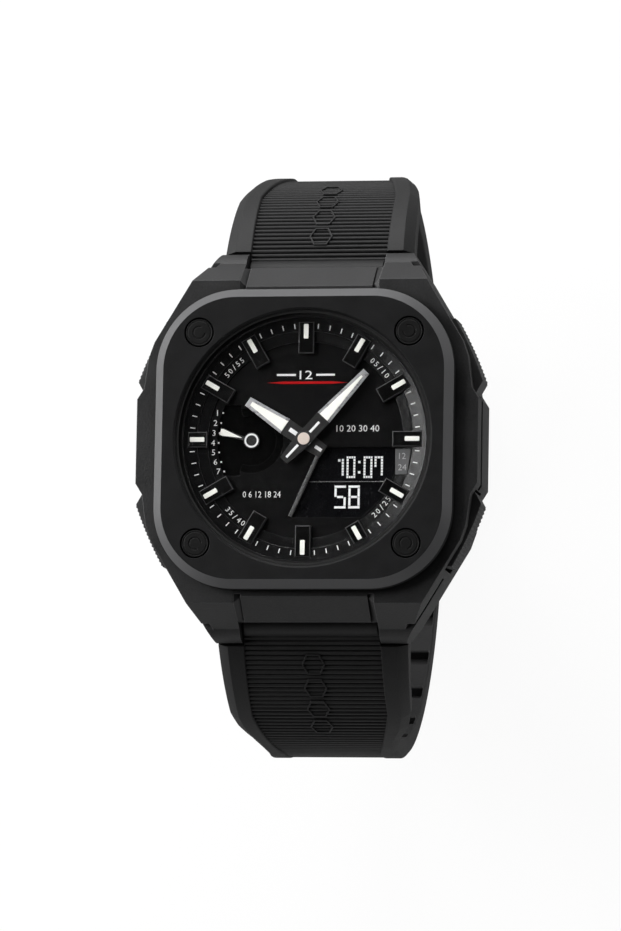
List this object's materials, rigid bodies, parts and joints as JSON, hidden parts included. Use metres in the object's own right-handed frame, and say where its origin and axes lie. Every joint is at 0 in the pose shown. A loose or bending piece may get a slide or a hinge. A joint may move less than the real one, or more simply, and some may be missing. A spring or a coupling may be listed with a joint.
{
  "type": "wristwatch",
  "caption": "Square black resin sports wristwatch with hands, a day sub-dial and a digital window, on a ribbed two-piece strap done up with a pin buckle.",
  "frame": {"origin": "centre of the case back's outer face, on the axis of the hour and minute hands", "axes": "+X to 3 o'clock, +Y to 12 o'clock, +Z out of the dial towards the reader"},
  "size_m": [0.051, 0.0874, 0.0798],
  "materials": {
    "resin_case": "fine satin moulded resin",
    "resin_bezel": "fine satin moulded resin",
    "bolt_black": "black plated, satin",
    "crystal_glass": "clear polished mineral glass",
    "gasket_rubber": "smooth",
    "back_steel": "brushed in circles",
    "screw_steel": "satin",
    "dial_black": "matt with printed scales",
    "day_black": "matt with printed scale",
    "ring_black": "matt with printed minute marks",
    "marker_black": "semi-gloss",
    "lume": "powdery",
    "lcd_glass": "dark liquid crystal panel",
    "frame_grey": "satin",
    "guide_clear": "frosted clear",
    "zebra_rubber": "layered strip",
    "holder_white": "moulded",
    "brass": "satin",
    "board_green": "solder mask",
    "motor_copper": "enamelled wire",
    "battery_steel": "bright",
    "clip_steel": "satin",
    "hand_silver": "satin rim with luminous filling",
    "arbor_steel": "satin",
    "cap_beige": "satin",
    "day_hand_white": "white wedge on a dark disc",
    "tube_steel": "satin",
    "bar_steel": "satin",
    "resin_strap": "satin resin",
    "buckle_black": "black plated, satin",
    "resin_keeper": "satin resin",
    "pusher_black": "satin resin with a knurled face",
    "spring_steel": "bright"
  },
  "bodies": {
    "case": {"case_shell": "resin_case", "bezel": "resin_bezel", "bezel_bolts": "bolt_black", "crystal": "crystal_glass", "crystal_gasket": "gasket_rubber", "case_back": "back_steel", "case_back_gasket": "gasket_rubber", "case_back_screws": "screw_steel", "dial_plate": "dial_black", "day_dial": "day_black", "minute_ring": "ring_black", "hour_markers": "marker_black", "hour_lume": "lume", "lcd_panel": "lcd_glass", "lcd_frame": "frame_grey", "light_guide": "guide_clear", "zebra_strip": "zebra_rubber", "movement_holder": "holder_white", "movement_plate": "brass", "circuit_board": "board_green", "step_motors": "motor_copper", "battery": "battery_steel", "battery_clip": "clip_steel", "buzzer": "brass", "pusher_tubes": "tube_steel", "pusher_2_spring": "spring_steel", "pusher_4_spring": "spring_steel", "pusher_8_spring": "spring_steel", "pusher_10_spring": "spring_steel", "spring_bar_upper": "bar_steel", "spring_bar_lower": "bar_steel"},
    "minute": {"minute_hand": "hand_silver", "minute_arbor": "arbor_steel", "hand_cap": "cap_beige"},
    "hour": {"hour_hand": "hand_silver", "hour_wheel": "brass"},
    "minute_wheel": {"minute_wheel": "brass"},
    "day": {"day_hand": "day_hand_white", "day_arbor": "arbor_steel"},
    "pusher_2": {"pusher_2": "pusher_black", "pusher_2_gasket": "gasket_rubber", "pusher_2_clip": "clip_steel"},
    "pusher_4": {"pusher_4": "pusher_black", "pusher_4_gasket": "gasket_rubber", "pusher_4_clip": "clip_steel"},
    "pusher_8": {"pusher_8": "pusher_black", "pusher_8_gasket": "gasket_rubber", "pusher_8_clip": "clip_steel"},
    "pusher_10": {"pusher_10": "pusher_black", "pusher_10_gasket": "gasket_rubber", "pusher_10_clip": "clip_steel"},
    "strap_upper": {"strap_upper": "resin_strap"},
    "strap_lower": {"strap_lower": "resin_strap", "strap_tail": "resin_strap"},
    "buckle": {"buckle_frame": "buckle_black", "buckle_pin": "bar_steel"},
    "tongue": {"buckle_tongue": "buckle_black"},
    "keeper": {"free_keeper": "resin_keeper"}
  },
  "joints": [
    {"name": "minute_turn", "type": "hinge", "parent": "case", "child": "minute", "pos_m": [0, 0, 0.0137], "axis": [0, 0, 1], "continuous": true},
    {"name": "hour_turn", "type": "hinge", "parent": "case", "child": "hour", "pos_m": [0, 0, 0.0128], "axis": [0, 0, 1], "continuous": true},
    {"name": "minute_wheel_turn", "type": "hinge", "parent": "case", "child": "minute_wheel", "pos_m": [0, 0.0036, 0.008], "axis": [0, 0, 1], "continuous": true},
    {"name": "day_turn", "type": "hinge", "parent": "case", "child": "day", "pos_m": [-0.00803, 0, 0.0118], "axis": [0, 0, 1], "range_deg": [-24, 62]},
    {"name": "pusher_2_press", "type": "slide", "parent": "case", "child": "pusher_2", "axis": [-0.91, -0.4147, 0], "range_m": [0, 0.0008], "stiffness_N_per_m": 800, "springref_m": -0.001, "deforming": ["pusher_2_spring"]},
    {"name": "pusher_4_press", "type": "slide", "parent": "case", "child": "pusher_4", "axis": [-0.91, 0.4147, 0], "range_m": [0, 0.0008], "stiffness_N_per_m": 800, "springref_m": -0.001, "deforming": ["pusher_4_spring"]},
    {"name": "pusher_8_press", "type": "slide", "parent": "case", "child": "pusher_8", "axis": [0.91, 0.4147, 0], "range_m": [0, 0.0008], "stiffness_N_per_m": 800, "springref_m": -0.001, "deforming": ["pusher_8_spring"]},
    {"name": "pusher_10_press", "type": "slide", "parent": "case", "child": "pusher_10", "axis": [0.91, -0.4147, 0], "range_m": [0, 0.0008], "stiffness_N_per_m": 800, "springref_m": -0.001, "deforming": ["pusher_10_spring"]},
    {"name": "strap_upper_hinge", "type": "hinge", "parent": "case", "child": "strap_upper", "pos_m": [0, 0.0256, 0.0036], "axis": [1, 0, 0], "range_deg": [0, 60]},
    {"name": "strap_lower_hinge", "type": "hinge", "parent": "case", "child": "strap_lower", "pos_m": [0, -0.0256, 0.0036], "axis": [-1, 0, 0], "range_deg": [0, 60], "deforming": ["strap_tail"]},
    {"name": "buckle_hinge", "type": "hinge", "parent": "strap_upper", "child": "buckle", "pos_m": [0, 0.00883, -0.05716], "axis": [1, 0, 0], "range_deg": [0, 30]},
    {"name": "tongue_hinge", "type": "hinge", "parent": "buckle", "child": "tongue", "pos_m": [0, 0.00883, -0.05716], "axis": [1, 0, 0], "range_deg": [0, 30]},
    {"name": "keeper_slide", "type": "hinge", "parent": "strap_upper", "child": "keeper", "pos_m": [0, 0, -0.01487], "axis": [1, 0, 0], "range_deg": [-4, 3]}
  ],
  "couplings": [
    {"joint": "hour_turn", "follows": "minute_turn", "ratio": 0.083333},
    {"joint": "minute_wheel_turn", "follows": "minute_turn", "ratio": -0.33333}
  ]
}
